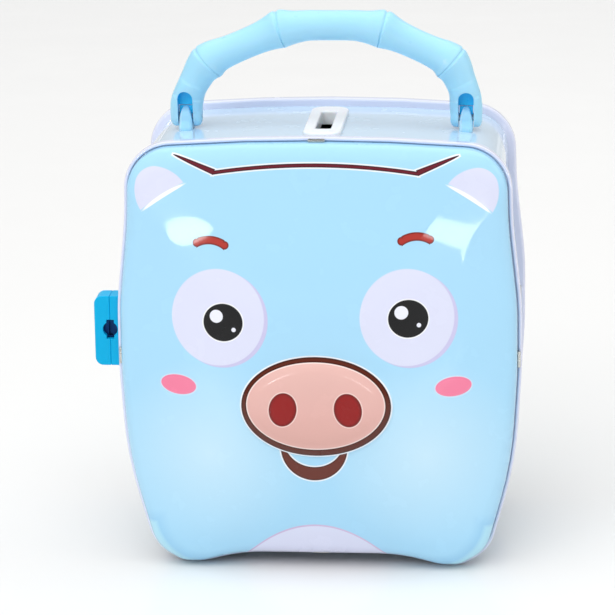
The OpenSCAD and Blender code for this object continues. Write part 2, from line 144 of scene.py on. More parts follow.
class Value:
    """A number that a material works out at each point, built with ordinary arithmetic."""

    def __init__(self, tree, socket):
        self.tree = tree
        self.socket = socket

    def op(self, operation, *others, first=None, clamp=False):
        node = self.tree.nodes.new("ShaderNodeMath")
        node.operation = operation
        node.use_clamp = clamp
        inputs = (self, *others) if first is None else (first, self, *others)
        for socket, value in zip(node.inputs, inputs):
            if isinstance(value, Value):
                self.tree.links.new(value.socket, socket)
            else:
                socket.default_value = value
        return Value(self.tree, node.outputs[0])

    def __add__(self, other):
        return self.op("ADD", other)

    def __sub__(self, other):
        return self.op("SUBTRACT", other)

    def __rsub__(self, other):
        return self.op("SUBTRACT", first=other)

    def __mul__(self, other):
        return self.op("MULTIPLY", other)

    def __truediv__(self, other):
        return self.op("DIVIDE", other)

    def root(self):
        return self.op("SQRT")

    def size(self):
        return self.op("ABSOLUTE")

    def least(self, other):
        return self.op("MINIMUM", other)

    def most(self, other):
        return self.op("MAXIMUM", other)


def length(a, b):
    return (a * a + b * b).root()


def turned(x, z, cx, cz, degrees):
    """x and z seen from a centre, in axes that are turned anticlockwise."""
    c, s = math.cos(math.radians(degrees)), math.sin(math.radians(degrees))
    dx, dz = x - cx, z - cz
    return dx * c + dz * s, dz * c - dx * s


def ellipse(x, z, cx, cz, a, b, degrees=0):
    """About how far a point is outside an ellipse, in the same unit; negative inside."""
    u, v = turned(x, z, cx, cz, degrees)
    near = length(u / a, v / b)
    slope = length(u / (a * a), v / (b * b)).most(1e-6)
    return near * (near - 1) / slope


def inside(distance, soft=0.07):
    """1 where distance is negative and 0 outside, with a soft edge that many millimetres wide each way."""
    return (distance * (-0.5 / soft)).op("ADD", 0.5, clamp=True)


class Skin:
    """A material on one Principled shader, with helpers that paint and roughen it."""

    def __init__(self, name, **constants):
        self.material = bpy.data.materials.new(name)
        self.material.use_nodes = True
        self.tree = self.material.node_tree
        self.nodes = self.tree.nodes
        self.shader = self.nodes["Principled BSDF"]
        for socket, value in constants.items():
            self.shader.inputs[socket.replace("_", " ")].default_value = value
        self.place = self.nodes.new("ShaderNodeTexCoord").outputs["Object"]

    def link(self, output, socket):
        self.tree.links.new(output, socket)

    def axes(self):
        """The object's own X, Y and Z in millimetres, from the case's middle."""
        split = self.nodes.new("ShaderNodeSeparateXYZ")
        self.link(self.place, split.inputs[0])
        values = [Value(self.tree, out) for out in split.outputs]
        return [(value - offset) * 1000 for value, offset in zip(values, SHIFT)]

    def noise(self, grain, detail, stretch=(1, 1, 1)):
        """A pattern whose grains are that many millimetres wide, from 0 to 1."""
        mapping = self.nodes.new("ShaderNodeMapping")
        self.link(self.place, mapping.inputs["Vector"])
        mapping.inputs["Scale"].default_value = [s * 1000 / grain for s in stretch]
        texture = self.nodes.new("ShaderNodeTexNoise")
        texture.inputs["Detail"].default_value = detail
        texture.inputs["Scale"].default_value = 1
        self.link(mapping.outputs[0], texture.inputs["Vector"])
        return Value(self.tree, texture.outputs["Fac"])

    def colour(self, hex_colour):
        node = self.nodes.new("ShaderNodeRGB")
        node.outputs[0].default_value = linear(hex_colour)
        return node.outputs[0]

    def layer(self, under, hex_colour, amount):
        """One colour laid over another where amount is 1."""
        mix = self.nodes.new("ShaderNodeMix")
        mix.data_type = "RGBA"
        self.link(amount.socket, mix.inputs["Factor"])
        self.link(under, mix.inputs[6])
        mix.inputs[7].default_value = linear(hex_colour)
        return mix.outputs[2]

    def uneven(self, under, amount, grain):
        """The same colour, a little lighter and darker in broad patches."""
        adjust = self.nodes.new("ShaderNodeHueSaturation")
        self.link(under, adjust.inputs["Color"])
        value = (self.noise(grain, 3) - 0.5) * (2 * amount) + 1
        self.link(value.socket, adjust.inputs["Value"])
        return adjust.outputs[0]

    def worn(self, under, hex_colour, start, amount):
        """Sharp outer edges turned towards a colour, as handling does."""
        edge = Value(self.tree, self.nodes.new("ShaderNodeNewGeometry").outputs["Pointiness"])
        spots = self.noise(2.2, 4)
        mask = ((edge - start) * 18).op("MULTIPLY", spots, clamp=True) * amount
        return self.layer(under, hex_colour, mask)

    def paint(self, socket):
        self.link(socket, self.shader.inputs["Base Color"])

    def gloss(self, low, high, grain):
        """Roughness that wanders between two values."""
        value = self.noise(grain, 4) * (high - low) + low
        self.link(value.socket, self.shader.inputs["Roughness"])

    def bump(self, pattern, height_mm):
        """A relief that deep on the surface and under its clear coat."""
        node = self.nodes.new("ShaderNodeBump")
        node.inputs["Strength"].default_value = 1
        node.inputs["Distance"].default_value = height_mm / 1000
        self.link(pattern.socket, node.inputs["Height"])
        self.link(node.outputs[0], self.shader.inputs["Normal"])


# ---------------------------------------------------------------------------------------------
# Materials
# ---------------------------------------------------------------------------------------------
INK_WHITE = "F4F8FF"
LILAC = "E1E4FA"


def enamel(name, hex_colour, wear="EEF1F4", coat=1.5):
    """Stoved enamel on tinplate: a clear, hard gloss with a faint orange peel."""
    skin = Skin(name, Coat_Weight=1.0, Coat_Roughness=0.03, Coat_IOR=coat, IOR=1.5, Specular_IOR_Level=0.2)
    base = skin.uneven(skin.colour(hex_colour), 0.015, 25)
    skin.paint(skin.worn(base, wear, 0.62, 0.15))
    skin.gloss(0.2, 0.32, 9)
    skin.bump(skin.noise(1.6, 2), 0.002)
    return skin


def plastic(name, hex_colour, low=0.24, high=0.36, scatter=0.08, specular=0.4, rubbed=0.16):
    """Injection-moulded plastic: a soft gloss, a fine grain and lightly rubbed edges."""
    skin = Skin(name, IOR=1.48, Subsurface_Weight=scatter, Subsurface_Scale=0.002,
                Specular_IOR_Level=specular)
    base = skin.uneven(skin.colour(hex_colour), 0.03, 12)
    skin.paint(skin.worn(base, "FFFFFF", 0.54, rubbed) if rubbed else base)
    skin.gloss(low, high, 4)
    skin.bump(skin.noise(0.45, 3) + skin.noise(6, 2) * 2, 0.006)
    return skin


def steel(name, hex_colour, low, high, stretch):
    """Plated or bare sheet metal with rolling marks and a few dull spots."""
    skin = Skin(name, Metallic=1.0)
    streaks = skin.noise(0.6, 3, stretch)
    spots = (skin.noise(3.5, 4) - 0.55) * 3
    base = skin.uneven(skin.colour(hex_colour), 0.06, 3)
    skin.paint(skin.layer(base, "4A4C50", spots.op("MULTIPLY", 0.35, clamp=True)))
    value = streaks * (high - low) + low
    skin.link(value.socket, skin.shader.inputs["Roughness"])
    skin.bump(streaks, 0.006)
    return skin


def pig_print(skin):
    """The face that is printed on the door: each layer covers what lies under it."""
    x, _, z = skin.axes()
    side = (x - 0.1).size()
    colour = skin.uneven(skin.colour("AEE0FC"), 0.012, 30)
    # Painted light: a paler patch low on each side of the face, painted as the dome's reflection of the pale
    # floor
    painted_light = (1 - length((side - 32) / 30, (z - 38) / 30)).op("MULTIPLY", 0.8, clamp=True)
    colour = skin.layer(colour, "D2F0FF", painted_light)

    # Feet: paler corners under the round lower edge of the body, edged above by a darker band of painted
    # shade where the feet step up
    paw = 16 - length(side - 33, z - 17.5)
    corner = paw.most((33 - side) * 0.6).most(z - 15)
    # Painted shade: a darker band along the curve of the raised step
    colour = skin.layer(colour, "92CCF2", inside(corner - 1.6, 1.8) * 0.45)
    colour = skin.layer(colour, "BFEFFF", inside(corner + 0.6, 0.7) * 0.8)

    # Belly patch between the feet
    belly = z - 15.0 + (x + 0.9) * (x + 0.9) * 0.0236
    colour = skin.layer(colour, "D3BFE0", inside(belly - 0.25))
    colour = skin.layer(colour, LILAC, inside(belly + 0.3))

    # Ears: a leaf shape with a round corner, and a white fold along its lower edge
    ear_top = length(side - 47.5, z - 112.9) - 11.0
    ear_outer = length(side - 42.5, z - 116.8) - 10.7
    corner = length((ear_top + 2.5).most(0), (ear_outer + 2.5).most(0)) - 2.5
    fold_u, fold_v = turned(side, z, 44.8, 115.3, -33)
    off_fold = fold_v + fold_u * fold_u * 0.0098 - 0.5
    colour = skin.layer(colour, LILAC, inside(corner.most(0 - off_fold), 0.12))
    fold = length(fold_u / 7.4, (off_fold + 0.45) / 0.6) - 1
    colour = skin.layer(colour, "FFFFFF", inside(fold, 0.12))

    # Hairline: a shallow arc that ends in two tapering tips
    arc = (z - 124.5 + side * side * 0.00256).size() - 0.58
    arc = arc.most(side - 30.2)
    along, off = turned(side, z, 30.0, 122.25, 23)
    taper = (1 - along / 12.7).most(0).root() * 0.86
    tip = (off - taper * 0.35).size() - taper
    tip = tip.most(0 - along - 0.35).most(along - 12.7)
    hair = arc.least(tip)
    colour = skin.layer(colour, INK_WHITE, inside(hair - 0.42))
    colour = skin.layer(colour, "2E0D14", inside(hair))
    colour = skin.layer(colour, "6E2632", inside(hair + 0.24, 0.12))

    # Brows: two short arcs with round ends
    for cx, cz, lean in ((-31.0, 94.9, -4), (29.7, 96.4, 3)):
        u, v = turned(x, z, cx, cz, lean)
        half_span, bow_r, half_t = 4.1, 7.9, 1.25
        band = ((length(u, v) - bow_r).size() - half_t).most(u.size() - half_span).most(0 - v)
        ends = length(u.size() - half_span, v - math.sqrt(bow_r ** 2 - half_span ** 2)) - half_t
        brow = band.least(ends)
        colour = skin.layer(colour, "7A2823", inside(brow))
        colour = skin.layer(colour, "B63A31", inside(brow + 0.38, 0.15))

    # Cheeks, with their outer ends higher
    for cx, cz, tilt in ((-40.9, 59.0, -7), (40.3, 59.3, 7)):
        cheek = ellipse(x, z, cx, cz, 5.3, 2.95, tilt)
        colour = skin.layer(colour, "D5E6FA", inside(cheek - 0.3))
        colour = skin.layer(colour, "F884A5", inside(cheek))

    # Eyes: a lilac oval with a soft shade on its right, the pupil and two lights in it
    eyes = (
        (-28.6, 79.9, (-27.1, 78.5), ((-29.1, 80.3, 1.95), (-24.0, 76.4, 0.65))),
        (26.9, 80.4, (27.2, 80.15), ((25.2, 82.0, 2.0), (30.3, 78.2, 0.65))),
    )
    for cx, cz, (px, pz), lights in eyes:
        colour = skin.layer(colour, "CFCBEE", inside(ellipse(x, z, cx + 0.95, cz - 0.6, 13.8, 14.5), 0.15))
        colour = skin.layer(colour, "E2E5FB", inside(ellipse(x, z, cx - 0.1, cz, 13.75, 14.5), 0.15))
        pupil = ellipse(x, z, px, pz, 5.85, 5.65)
        colour = skin.layer(colour, "FAFBFF", inside(pupil - 0.35))
        colour = skin.layer(colour, "0B0C0F", inside(pupil))
        for lx, lz, radius in lights:
            colour = skin.layer(colour, "F2F4FF", inside(length(x - lx, z - lz) - radius))

    # Mouth: a crescent that hangs from the snout
    outer = ellipse(x, z, -0.8, 40.6, 9.9, 10.5)
    inner = ellipse(x, z, -0.8, 42.3, 8.6, 7.9)
    mouth = outer.most(0 - inner)
    mouth = mouth.most(z - 42)
    colour = skin.layer(colour, INK_WHITE, inside(mouth - 0.42))
    colour = skin.layer(colour, "3F1911", inside(mouth))
    colour = skin.layer(colour, "6B3024", inside(mouth + 0.3, 0.15))

    # Snout: a brown ring round a pink face with two nostrils
    snout = ellipse(x, z, 0, 53.5, 22.1, 15.2)
    pink = ellipse(x, z, -0.05, 53.95, 20.5, 13.4)
    colour = skin.layer(colour, INK_WHITE, inside(snout - 0.42))
    colour = skin.layer(colour, "3F1911", inside(snout))
    colour = skin.layer(colour, "5E291C", inside(snout + 0.35, 0.2))
    colour = skin.layer(colour, "3F1911", inside(pink - 0.3, 0.12))
    colour = skin.layer(colour, "FBE3DD", inside(pink))
    colour = skin.layer(colour, "E7B5AD", inside(pink + 0.35, 0.12))
    # Painted light on the upper part of the pink face and painted shade on its lower part, as the raised
    # snout would be lit
    painted_light = ((z - 50) / 16).op("MULTIPLY", 0.6, clamp=True)
    colour = skin.layer(colour, "EEC3BB", painted_light * inside(pink + 0.4, 0.3))
    shade = ((52 - z) / 12).op("MULTIPLY", 0.75, clamp=True)
    colour = skin.layer(colour, "D9A89E", shade * inside(pink + 0.9, 0.9))
    for cx, tilt in ((-9.65, -9), (9.55, 9)):
        nostril = ellipse(x, z, cx, 53.05, 4.1, 5.2, tilt)
        colour = skin.layer(colour, "F9D5CE", inside(nostril - 0.35))
        colour = skin.layer(colour, "6C0D0D", inside(nostril))
        colour = skin.layer(colour, "96100F", inside(nostril + 0.5, 0.5))
    return colour


def face_enamel():
    """The door's enamel with its print under the clear coat."""
    skin = Skin("face_enamel", Coat_Weight=0.5, Coat_Roughness=0.03, Coat_IOR=1.48, IOR=1.5,
                Specular_IOR_Level=0.15)
    colour = pig_print(skin)
    skin.paint(colour)
    skin.gloss(0.2, 0.32, 9)
    skin.bump(skin.noise(1.6, 2), 0.0015)
    return skin


def lock_dark():
    """The barrel of the lock: a dull dark casting."""
    skin = Skin("lock_casting", Metallic=1.0)
    skin.paint(skin.uneven(skin.colour("1E3F70"), 0.15, 1.2))
    skin.gloss(0.35, 0.6, 1)
    skin.bump(skin.noise(0.5, 4), 0.02)
    return skin


FACE = face_enamel().material
REAR = enamel("panel_enamel", "AEE0FC").material
BAND = enamel("band_enamel", "CCE7FB", coat=1.75).material
RIM = enamel("rim_enamel", "E3E6FA", wear="C9CCD6").material
GRIP = plastic("sky_plastic", "AAE3FD").material
# Painted shade: a deeper blue for the faces inside the handle's slot and the lug's core, as shade in
# translucent plastic
SLOT_SHADE = plastic("slot_shade_plastic", "22D2FF", rubbed=0).material
TONGUE = plastic("lug_plastic", "A6E0FC").material
LOCK = plastic("lock_plastic", "00B4E6", 0.3, 0.42, 0.02, 0.2, rubbed=0).material
WHITE = plastic("bezel_plastic", "F5F6F8", 0.18, 0.28).material
BARREL = lock_dark().material
PLATE = steel("plated_steel", "C5C7CB", 0.22, 0.42, (1, 0.08, 1)).material
TIN = steel("bare_tin", "D0D0CC", 0.18, 0.4, (0.1, 1, 1)).material
INSIDE = steel("inside_tin", "B9BAB6", 0.3, 0.5, (1, 1, 0.06)).material


# ---------------------------------------------------------------------------------------------
# Mesh helpers: everything is drawn in millimetres and set into the frame at the end
# ---------------------------------------------------------------------------------------------
def new_object(name, verts, faces, materials, indices=None):
    mesh = bpy.data.meshes.new(name)
    mesh.from_pydata([tuple(v) for v in verts], [], faces)
    for material in materials:
        mesh.materials.append(material)
    if indices:
        mesh.polygons.foreach_set("material_index", indices)
    obj = bpy.data.objects.new(name, mesh)
    bpy.context.scene.collection.objects.link(obj)
    return obj


def fix_normals(obj, bevel=None, segments=3):
    """Points all faces outwards and, if asked, rounds every edge that turns more than 30 degrees."""
    bm = bmesh.new()
    bm.from_mesh(obj.data)
    bmesh.ops.remove_doubles(bm, verts=bm.verts, dist=1e-4)
    bmesh.ops.recalc_face_normals(bm, faces=bm.faces)
    if bevel:
        edges = [e for e in bm.edges if e.is_manifold and e.calc_face_angle(0) > math.radians(30)]
        bmesh.ops.bevel(bm, geom=edges, offset=bevel, segments=segments, profile=0.5, affect="EDGES",
                        clamp_overlap=True)
    bm.to_mesh(obj.data)
    bm.free()


def combine(obj, others, operation):
    """Joins other objects to one or cuts them out of it, keeps their materials, and deletes them."""
    for other in others:
        change = obj.modifiers.new("change", "BOOLEAN")
        change.operation = operation
        change.solver = "EXACT"
        change.object = other
        change.material_mode = "TRANSFER"
    graph = bpy.context.evaluated_depsgraph_get()
    mesh = bpy.data.meshes.new_from_object(obj.evaluated_get(graph))
    obj.modifiers.clear()
    old = obj.data
    obj.data = mesh
    bpy.data.meshes.remove(old)
    for other in others:
        bpy.data.objects.remove(other)


def finish_piece(obj, body, replaced, smooth):
    """Sets a finished piece into the frame, shades it, hangs it on its body and hides the frame parts it
    replaces.
    """
    obj.data.transform(TO_FRAME)
    obj.data.polygons.foreach_set("use_smooth", [True] * len(obj.data.polygons))
    obj.data.set_sharp_from_angle(angle=math.radians(smooth))
    obj.modifiers.new("flat_faces", "WEIGHTED_NORMAL").keep_sharp = True
    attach(obj, body)
    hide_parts(*replaced)


def loops(rings, closed_profile=True):
    """Quads between rings of points: every ring closes on itself, and the last joins the first if asked."""
    n = len(rings[0])
    last = len(rings) if closed_profile else len(rings) - 1
    faces = []
    for k in range(last):
        a, b = k * n, (k + 1) % len(rings) * n
        faces += [(a + i, a + (i + 1) % n, b + (i + 1) % n, b + i) for i in range(n)]
    return [v for ring in rings for v in ring], faces


def prism(name, outline, axis, low, high, material, bevel=None, segments=3):
    """A flat outline pushed along an axis, with its edges rounded if a bevel is given."""
    place = {
        "x": lambda a, b, t: (t, a, b),
        "y": lambda a, b, t: (a, t, b),
        "z": lambda a, b, t: (a, b, t),
    }[axis]
    n = len(outline)
    verts = [place(a, b, t) for t in (low, high) for a, b in outline]
    faces = [tuple(range(n)), tuple(range(2 * n - 1, n - 1, -1))]
    faces += [(i, n + i, n + (i + 1) % n, (i + 1) % n) for i in range(n)]
    obj = new_object(name, verts, faces, [material])
    fix_normals(obj, bevel, segments)
    return obj


def cutter(outline, axis, low, high, material):
    """A sharp-edged prism to cut with, in the material that the cut faces get."""
    return prism("cutter", outline, axis, low, high, material)


def disc(radius, cx=0, cz=0, n=48, start=0, sweep=360):
    """Points on a circle, or on part of one with both ends."""
    count = n if sweep == 360 else n + 1
    turn = [math.radians(start + sweep * i / n) for i in range(count)]
    return [(cx + radius * math.cos(t), cz + radius * math.sin(t)) for t in turn]


def rectangle(x0, x1, z0, z1):
    return [(x0, z0), (x1, z0), (x1, z1), (x0, z1)]


def rounded(cx, cz, w, h, r, n=8):
    """A rectangle with round corners."""
    points = []
    for sx, sz, start in ((1, 1, 0), (-1, 1, 90), (-1, -1, 180), (1, -1, 270)):
        points += disc(r, cx + sx * (w / 2 - r), cz + sz * (h / 2 - r), n, start, 90)
    return points


# ---------------------------------------------------------------------------------------------
# The case's outline
# ---------------------------------------------------------------------------------------------
HALF_OUTLINE = [
    (24.2, ARCH, 50), (35.7, 0, 16), (42.2, 0, 8.5), (50.8, 5, 13), (58.5, 33.5, 120),
    (HALF_W, 61, 100), (HALF_W - 0.05, 81.5, 100), (57.3, 106, 120), (56.7, SHOULDER_Z, TOP_R),
]
CORNERS = HALF_OUTLINE + [(0, SHOULDER_Z + CROWN, 600)] + [(-x, z, r) for x, z, r in reversed(HALF_OUTLINE)]


def corner_points(i, d):
    """The fillet points of one corner of the outline, moved inwards by d."""
    before, here, after = (Vector(CORNERS[(i + k) % len(CORNERS)][:2]) for k in (-1, 0, 1))
    a = (here - before).normalized().orthogonal()
    b = (after - here).normalized().orthogonal()
    if a.dot(Vector((0, MID_Z)) - here) < 0 and b.dot(Vector((0, MID_Z)) - here) < 0:
        a, b = -a, -b
    middle = (a + b) / (1 + a.dot(b))
    cross = a.x * b.y - a.y * b.x
    bend = 1 if cross > 0 else -1
    radius = max(0.4, CORNERS[i][2] - bend * d)
    centre = here + d * middle + bend * radius * middle
    steps = max(4, math.ceil(math.degrees(a.angle(b)) / 4))
    out = []
    for k in range(steps + 1):
        w = a.lerp(b, k / steps)
        out.append(centre - bend * radius * w.normalized())
    return out


def outline(d):
    return [p for i in range(len(CORNERS)) for p in corner_points(i, d)]


def dense(d, step):
    """The outline with points added along its long edges, alike for every d."""
    points, reference = outline(d), outline(0)
    out = []
    for i, p in enumerate(points):
        j = (i + 1) % len(points)
        n = max(1, math.ceil((reference[j] - reference[i]).length / step))
        out += [p.lerp(points[j], k / n) for k in range(n)]
    return out


def around(profile, step):
    """Rings of the outline at each point of a profile of insets and depths."""
    return [[(p.x, y, p.y) for p in dense(d, step)] for d, y in profile]


# ---------------------------------------------------------------------------------------------
# Pressed panels
# ---------------------------------------------------------------------------------------------
def dome(s, h):
    """A dome of height h: flat in the middle, where s is 0, and steep at the edge, where it is 1."""
    return h * max(0, 1 - s ** 2.2) ** 0.8


def shoulder(s):
    """The shoulder's share of its height: a quarter of an ellipse that is 5% of the panel wide."""
    return math.sqrt(1 - (1 - min(1, (1 - s) / SHOULDER_SHARE)) ** 2)


def height(x, z, s, h, wall):
    """A panel's height: a wall, a shoulder, then a dome that follows the ring and, further in, the place."""
    if s == 1:
        return 0
    far = min(1, ((abs(x) / DOME_X) ** 3 + (abs(z - MID_Z) / DOME_Z) ** 3) ** (1 / 3))
    b = max(0, min(1, (s - 0.55) / 0.4))
    top = h - wall - SHOULDER_H
    return wall + SHOULDER_H * shoulder(s) + b * dome(s, top) + (1 - b) * dome(far, top)


def ramp(t):
    """0 to 1 along a smooth S."""
    t = max(0, min(1, t))
    return t * t * (3 - 2 * t)


def face_relief(x, z):
    """The snout stands out, and the feet a little."""
    near = math.hypot(x / SNOUT_A, (z - SNOUT_Z) / SNOUT_B)
    lift = SNOUT_H * (1 - max(0, min(1, (near - 0.42) / 0.62)) ** 3) ** 0.8
    side = abs(x)
    foot = ramp((math.hypot(side - 33, z - 17.5) - 15) / 3) * ramp((side - 31) / 8) * ramp((16 - z) / 7)
    return lift + 0.45 * foot


def ring_point(p, s, focus, axes):
    """A point of the ring of size s, which turns from the outline into an ellipse round the focus."""
    w = min(1, (1 - s) / 0.6)
    v = p - Vector((0, MID_Z))
    u = v.normalized()
    e = u / math.hypot(u.x / axes[0], u.y / axes[1])
    centre = Vector((0, MID_Z)).lerp(focus, w)
    return centre + s * v.lerp(e, w)


def panel(name, h, wall, relief, steps, focus, axes, way, step, materials):
    """A pressed sheet: rings that shrink from the outline to a focus, on both of its sides."""
    focus = Vector(focus)
    edge = RIDGE_W + GROOVE

    def ring(points, s, under):
        out = []
        for p in points:
            q = ring_point(p, s, focus, axes)
            rise = height(q.x, q.y, s, h, wall) - (under if s < 1 else 0)
            rise += relief(q.x, q.y) * ramp((1 - s) / 0.08) if relief else 0
            out.append((q.x, way * (SEAT_Y + rise), q.y))
        return out

    outer, inner = dense(edge, step), dense(edge + SHEET, step)
    rings = [ring(outer, s, 0) for s in steps] + [ring(inner, s, SHEET) for s in reversed(steps)]
    # The outside runs from the edge to the focus and the inside back, joined at the edge only
    n, m = len(outer), len(steps)
    verts, faces = loops(rings)
    keep = [f for k, f in enumerate(faces) if k // n != m - 1]
    outside = (m - 1) * n
    indices = [0 if k < outside else 1 for k in range(len(keep))]
    for k, under, index in ((m - 1, 0, 0), (m, SHEET, 1)):
        lift = height(focus.x, focus.y, 0, h, wall) - under + (relief(focus.x, focus.y) if relief else 0)
        verts.append((focus.x, way * (SEAT_Y + lift), focus.y))
        keep += [(k * n + i, k * n + (i + 1) % n, len(verts) - 1) for i in range(n)]
        indices += [index] * n
    obj = new_object(name, verts, keep, materials, indices)
    fix_normals(obj)
    return obj


def edge_steps():
    """Ring sizes that follow the wall, the shoulder's curve and the dome's edge closely."""
    curve = [1 - SHOULDER_SHARE * (1 - math.cos(math.radians(90 * k / 14))) for k in range(1, 15)]
    return [1, 0.9998, 0.9995] + curve


def fine_steps():
    """Ring sizes from the edge to the middle: close together again round the snout."""
    dome_part = [0.95 - 0.55 * k / 46 for k in range(1, 47)]
    snout = [0.4 - 0.13 * k / 30 for k in range(1, 31)]
    middle = [0.27 * (1 - k / 9) for k in range(1, 9)]
    return edge_steps() + dome_part + snout + middle


# ---------------------------------------------------------------------------------------------
# Tin pieces
# ---------------------------------------------------------------------------------------------
def face_panel():
    """The door's pressed sheet, with rings that close in on the snout."""
    axes = (SNOUT_A / 0.36, SNOUT_B / 0.36)
    obj = panel("face_shell", BULGE_FRONT, WALL_FRONT_H, face_relief, fine_steps(), (0, SNOUT_Z), axes, -1,
                1.2, [FACE, INSIDE])
    finish_piece(obj, "door", ["face_panel"], 50)


def rear_panel():
    """The back's pressed sheet: the same construction with a lower, plain dome."""
    steps = edge_steps() + [0.95 * (1 - k / 24) for k in range(1, 24)]
    obj = panel("rear_shell", BULGE_REAR, WALL_REAR_H, None, steps, (0, MID_Z), (DOME_X, DOME_Z), 1,
                2, [REAR, INSIDE])
    finish_piece(obj, "case", ["rear_panel"], 50)


def arc(cx, cy, r, start, end, n):
    """Points on a quarter or so of a circle, from one angle to another."""
    turn = [math.radians(start + (end - start) * k / n) for k in range(n + 1)]
    return [(cx + r * math.cos(t), cy + r * math.sin(t)) for t in turn]


def bead_profile(lip):
    """Insets and depths of a rolled rim: a flat lip, the panel's seat, the ridge and the round back."""
    front, seat, back = -RIM_FRONT, -SEAT_Y, -RIM_BACK
    points = [(lip, back - SHEET), (BEAD_W, back - SHEET)]
    points += arc(BEAD_W - 0.6, seat + 0.6, 0.6, 0, -90, 5)
    points += arc(RIDGE_W + 0.1, seat - 0.1, 0.1, 90, 180, 3)
    points += arc(RIDGE_W - 0.42, front + 0.42, 0.42, 0, -90, 6)
    points += arc(0.55, front + 0.55, 0.55, -90, -180, 7)
    points += arc(0.9, back - 0.9, 0.9, 180, 90, 8)
    points.append((lip, back))
    return points


def rim(name, body, node, lip, way):
    """A rolled rim, at the front where way is -1 and at the back where it is 1."""
    profile = [(d, -y * way) for d, y in bead_profile(lip)]
    verts, faces = loops(around(profile, 3))
    obj = new_object(name, verts, faces, [RIM])
    fix_normals(obj)
    finish_piece(obj, body, [node], 40)


def band():
    """The case's wrap-around sheet, with holes for the coins, lugs, cam, hinge, screws and rivets."""
    profile = [(BAND_IN, -BAND_FRONT), (BAND_IN, RIM_BACK + 0.2), (BAND_IN + SHEET, RIM_BACK + 0.2),
               (BAND_IN + SHEET, -BAND_FRONT)]
    rows = [profile[0]]
    for k in range(1, 15):
        rows.append((BAND_IN, -BAND_FRONT + (RIM_BACK + BAND_FRONT) * k / 15))
    rings = around(rows + profile[1:], 2)
    verts, faces = loops(rings)
    n = len(rings[0])
    indices = [0 if k // n < len(rows) else 1 for k in range(len(faces))]
    obj = new_object("band_sheet", verts, faces, [BAND, INSIDE], indices)
    fix_normals(obj)
    coin_hole = rounded(TOP_X, 0, 7.4, 29.2, 1)
    cutters = [cutter(coin_hole, "z", *THROUGH_TOP, INSIDE)]
    for x in (-LUG_X, LUG_X):
        stem_hole = rectangle(TOP_X + x - 1.8, TOP_X + x + 1.8, -3.1, 3.1)
        cutters.append(cutter(stem_hole, "z", *THROUGH_TOP, INSIDE))
    cam_slot = rectangle(-60, -50, KEY_Z - 2.2, KEY_Z + CAM_ROOM_Z)
    cutters.append(cutter(cam_slot, "y", -CAM_FRONT - 0.3, -CAM_FRONT + CAM_ROOM_Y, INSIDE))
    hinge_notch = rectangle(*THROUGH_RIGHT, HINGE_Z - HINGE_LEN / 2 - 1, HINGE_Z + HINGE_LEN / 2 + 1)
    cutters.append(cutter(hinge_notch, "y", -RIM_BACK - 1, HINGE_Y + 1.6, INSIDE))
    for z in (-SCREW_Z, SCREW_Z):
        cutters.append(cutter(disc(1.15, SCREW_Y, KEY_Z + z), "x", *THROUGH_LEFT, INSIDE))
    for z in (-9, 9):
        cutters.append(cutter(disc(0.92, HINGE_Y + 6, HINGE_Z + z), "x", *THROUGH_RIGHT, INSIDE))
    combine(obj, cutters, "DIFFERENCE")
    finish_piece(obj, "case", ["side_band"], 30)


def clips():
    """Four bent tabs of bare tin that hook over the ridge round the door's panel."""
    places = ((0, TOP_Z, 180), (0, ARCH, 0), (-HALF_W, MID_Z - 1, 90), (HALF_W, MID_Z - 1, -90))
    bm = bmesh.new()
    for x, z, turn in places:
        hook = rounded(0, (0.35 + RIDGE_W + 0.25) / 2, 5, RIDGE_W - 0.1, 0.3, 4)
        head = prism("t", hook, "y", -RIM_FRONT - 1, -RIM_FRONT + 0.02, TIN, 0.2, 2)
        strip = rectangle(-2.4, 2.4, RIDGE_W + 0.05, RIDGE_W + 0.25)
        tongue = prism("t", strip, "y", -RIM_FRONT - 0.4, -SEAT_Y, TIN, 0.04, 1)
        turned_to = Matrix.Translation((x, 0, z)) @ Matrix.Rotation(math.radians(turn), 4, "Y")
        for part in (head, tongue):
            part.data.transform(turned_to)
            bm.from_mesh(part.data)
            bpy.data.objects.remove(part)
    # The fold of each tab is dented by the tool that bent it
    for v in bm.verts:
        v.co.y += 0.05 * math.sin(v.co.x * 3.1 + v.co.z * 2.3)
    mesh = bpy.data.meshes.new("clip_tabs")
    bm.to_mesh(mesh)
    bm.free()
    mesh.materials.append(TIN)
    obj = bpy.data.objects.new("clip_tabs", mesh)
    bpy.context.scene.collection.objects.link(obj)
    finish_piece(obj, "door", ["face_clips"], 40)


# ---------------------------------------------------------------------------------------------
# Coin slot, lugs and handle
# ---------------------------------------------------------------------------------------------
def bezel():
    """The slot's frame, turned from a profile that goes round its outside, top and opening."""
    surface = TOP_Z - BAND_IN
    top = surface + 1.3
    low = 126.3

    def ring(share, grow, z):
        """A rounded rectangle between the frame's outer edge, at 0, and its opening, at 1."""
        w = BEZEL_W + (SLOT_W - BEZEL_W) * share + 2 * grow
        d = BEZEL_L + (SLOT_L - BEZEL_L) * share + 2 * grow
        r = BEZEL_R + (SLOT_R - BEZEL_R) * share + grow
        return [(x, y, z) for x, y in rounded(TOP_X, 0.5 * (1 - share), w, d, max(0.2, r), 10)]

    profile = [
        (0, 0, surface - 0.35), (0, 0, top - 0.6), (0, -0.08, top - 0.3), (0, -0.3, top - 0.1),
        (0, -0.6, top), (0.5, 0, top), (1, 0.6, top), (1, 0.3, top - 0.08), (1, 0.08, top - 0.28),
        (1, 0, top - 0.6), (1, 0, low), (1, 1.15, low), (1, 1.15, surface - 0.35),
    ]
    verts, faces = loops([ring(*stop) for stop in profile])
    obj = new_object("slot_frame", verts, faces, [WHITE])
    fix_normals(obj)
    finish_piece(obj, "case", ["coin_slot_bezel"], 50)


